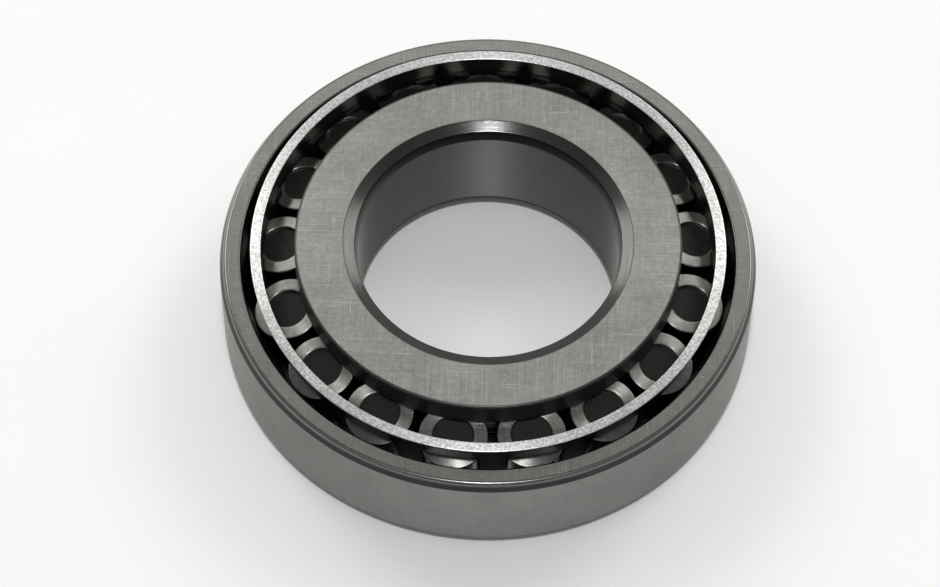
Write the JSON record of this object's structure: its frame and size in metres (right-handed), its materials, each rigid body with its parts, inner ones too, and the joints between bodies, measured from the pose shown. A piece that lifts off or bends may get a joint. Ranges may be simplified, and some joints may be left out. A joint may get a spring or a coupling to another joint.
{
  "type": "tapered roller bearing",
  "caption": "Tapered roller bearing: a conical outer ring, an inner ring with a raised back rib, and tapered rollers held in a pressed window cage.",
  "frame": {"origin": "centre of the outer ring's back face, on the bearing axis: the middle of the surface it stands on", "axes": "+Z along the bearing axis, from the outer ring's back face to its open side; roller_01 is 7.75 degrees from +X towards +Y, and the others follow counter-clockwise seen from above"},
  "size_m": [0.072, 0.072, 0.0182],
  "materials": {
    "outer_ring": "ground satin",
    "inner_ring": "ground satin",
    "cage": "pressed sheet, bright sheared rim",
    "rollers": "ground, dark recess"
  },
  "bodies": {
    "outer_ring": {"outer_ring": "outer_ring"},
    "inner_ring": {"inner_ring": "inner_ring"},
    "cage": {"cage": "cage"},
    "roller_01": {"roller_01": "rollers"},
    "roller_02": {"roller_02": "rollers"},
    "roller_03": {"roller_03": "rollers"},
    "roller_04": {"roller_04": "rollers"},
    "roller_05": {"roller_05": "rollers"},
    "roller_06": {"roller_06": "rollers"},
    "roller_07": {"roller_07": "rollers"},
    "roller_08": {"roller_08": "rollers"},
    "roller_09": {"roller_09": "rollers"},
    "roller_10": {"roller_10": "rollers"},
    "roller_11": {"roller_11": "rollers"},
    "roller_12": {"roller_12": "rollers"},
    "roller_13": {"roller_13": "rollers"},
    "roller_14": {"roller_14": "rollers"},
    "roller_15": {"roller_15": "rollers"},
    "roller_16": {"roller_16": "rollers"},
    "roller_17": {"roller_17": "rollers"}
  },
  "joints": [
    {"name": "cone_spin", "type": "hinge", "parent": "outer_ring", "child": "inner_ring", "pos_m": [0, 0, 0], "axis": [0, 0, 1], "continuous": true},
    {"name": "cage_spin", "type": "hinge", "parent": "outer_ring", "child": "cage", "pos_m": [0, 0, 0], "axis": [0, 0, 1], "continuous": true},
    {"name": "roller_01_spin", "type": "hinge", "parent": "cage", "child": "roller_01", "pos_m": [0.02663, 0.00351, 0.00877], "axis": [0.2075, 0.0273, 0.9779], "continuous": true},
    {"name": "roller_02_spin", "type": "hinge", "parent": "cage", "child": "roller_02", "pos_m": [0.02356, 0.01289, 0.00877], "axis": [0.1836, 0.1004, 0.9779], "continuous": true},
    {"name": "roller_03_spin", "type": "hinge", "parent": "cage", "child": "roller_03", "pos_m": [0.01732, 0.02053, 0.00877], "axis": [0.1349, 0.16, 0.9779], "continuous": true},
    {"name": "roller_04_spin", "type": "hinge", "parent": "cage", "child": "roller_04", "pos_m": [0.00873, 0.0254, 0.00877], "axis": [0.068, 0.1979, 0.9779], "continuous": true},
    {"name": "roller_05_spin", "type": "hinge", "parent": "cage", "child": "roller_05", "pos_m": [-0.00103, 0.02684, 0.00877], "axis": [-0.0081, 0.2091, 0.9779], "continuous": true},
    {"name": "roller_06_spin", "type": "hinge", "parent": "cage", "child": "roller_06", "pos_m": [-0.01066, 0.02465, 0.00877], "axis": [-0.0831, 0.1921, 0.9779], "continuous": true},
    {"name": "roller_07_spin", "type": "hinge", "parent": "cage", "child": "roller_07", "pos_m": [-0.01885, 0.01914, 0.00877], "axis": [-0.1469, 0.1491, 0.9779], "continuous": true},
    {"name": "roller_08_spin", "type": "hinge", "parent": "cage", "child": "roller_08", "pos_m": [-0.02449, 0.01104, 0.00877], "axis": [-0.1908, 0.086, 0.9779], "continuous": true},
    {"name": "roller_09_spin", "type": "hinge", "parent": "cage", "child": "roller_09", "pos_m": [-0.02682, 0.00145, 0.00877], "axis": [-0.209, 0.0113, 0.9779], "continuous": true},
    {"name": "roller_10_spin", "type": "hinge", "parent": "cage", "child": "roller_10", "pos_m": [-0.02553, -0.00834, 0.00877], "axis": [-0.199, -0.065, 0.9779], "continuous": true},
    {"name": "roller_11_spin", "type": "hinge", "parent": "cage", "child": "roller_11", "pos_m": [-0.0208, -0.017, 0.00877], "axis": [-0.162, -0.1325, 0.9779], "continuous": true},
    {"name": "roller_12_spin", "type": "hinge", "parent": "cage", "child": "roller_12", "pos_m": [-0.01325, -0.02336, 0.00877], "axis": [-0.1033, -0.1821, 0.9779], "continuous": true},
    {"name": "roller_13_spin", "type": "hinge", "parent": "cage", "child": "roller_13", "pos_m": [-0.00392, -0.02657, 0.00877], "axis": [-0.0305, -0.2071, 0.9779], "continuous": true},
    {"name": "roller_14_spin", "type": "hinge", "parent": "cage", "child": "roller_14", "pos_m": [0.00595, -0.02619, 0.00877], "axis": [0.0464, -0.2041, 0.9779], "continuous": true},
    {"name": "roller_15_spin", "type": "hinge", "parent": "cage", "child": "roller_15", "pos_m": [0.01501, -0.02227, 0.00877], "axis": [0.117, -0.1736, 0.9779], "continuous": true},
    {"name": "roller_16_spin", "type": "hinge", "parent": "cage", "child": "roller_16", "pos_m": [0.02204, -0.01535, 0.00877], "axis": [0.1718, -0.1196, 0.9779], "continuous": true},
    {"name": "roller_17_spin", "type": "hinge", "parent": "cage", "child": "roller_17", "pos_m": [0.0261, -0.00635, 0.00877], "axis": [0.2034, -0.0495, 0.9779], "continuous": true}
  ],
  "couplings": [
    {"joint": "cage_spin", "follows": "cone_spin", "ratio": 0.42029},
    {"joint": "roller_01_spin", "follows": "cone_spin", "ratio": -2.9889},
    {"joint": "roller_02_spin", "follows": "cone_spin", "ratio": -2.9889},
    {"joint": "roller_03_spin", "follows": "cone_spin", "ratio": -2.9889},
    {"joint": "roller_04_spin", "follows": "cone_spin", "ratio": -2.9889},
    {"joint": "roller_05_spin", "follows": "cone_spin", "ratio": -2.9889},
    {"joint": "roller_06_spin", "follows": "cone_spin", "ratio": -2.9889},
    {"joint": "roller_07_spin", "follows": "cone_spin", "ratio": -2.9889},
    {"joint": "roller_08_spin", "follows": "cone_spin", "ratio": -2.9889},
    {"joint": "roller_09_spin", "follows": "cone_spin", "ratio": -2.9889},
    {"joint": "roller_10_spin", "follows": "cone_spin", "ratio": -2.9889},
    {"joint": "roller_11_spin", "follows": "cone_spin", "ratio": -2.9889},
    {"joint": "roller_12_spin", "follows": "cone_spin", "ratio": -2.9889},
    {"joint": "roller_13_spin", "follows": "cone_spin", "ratio": -2.9889},
    {"joint": "roller_14_spin", "follows": "cone_spin", "ratio": -2.9889},
    {"joint": "roller_15_spin", "follows": "cone_spin", "ratio": -2.9889},
    {"joint": "roller_16_spin", "follows": "cone_spin", "ratio": -2.9889},
    {"joint": "roller_17_spin", "follows": "cone_spin", "ratio": -2.9889}
  ]
}
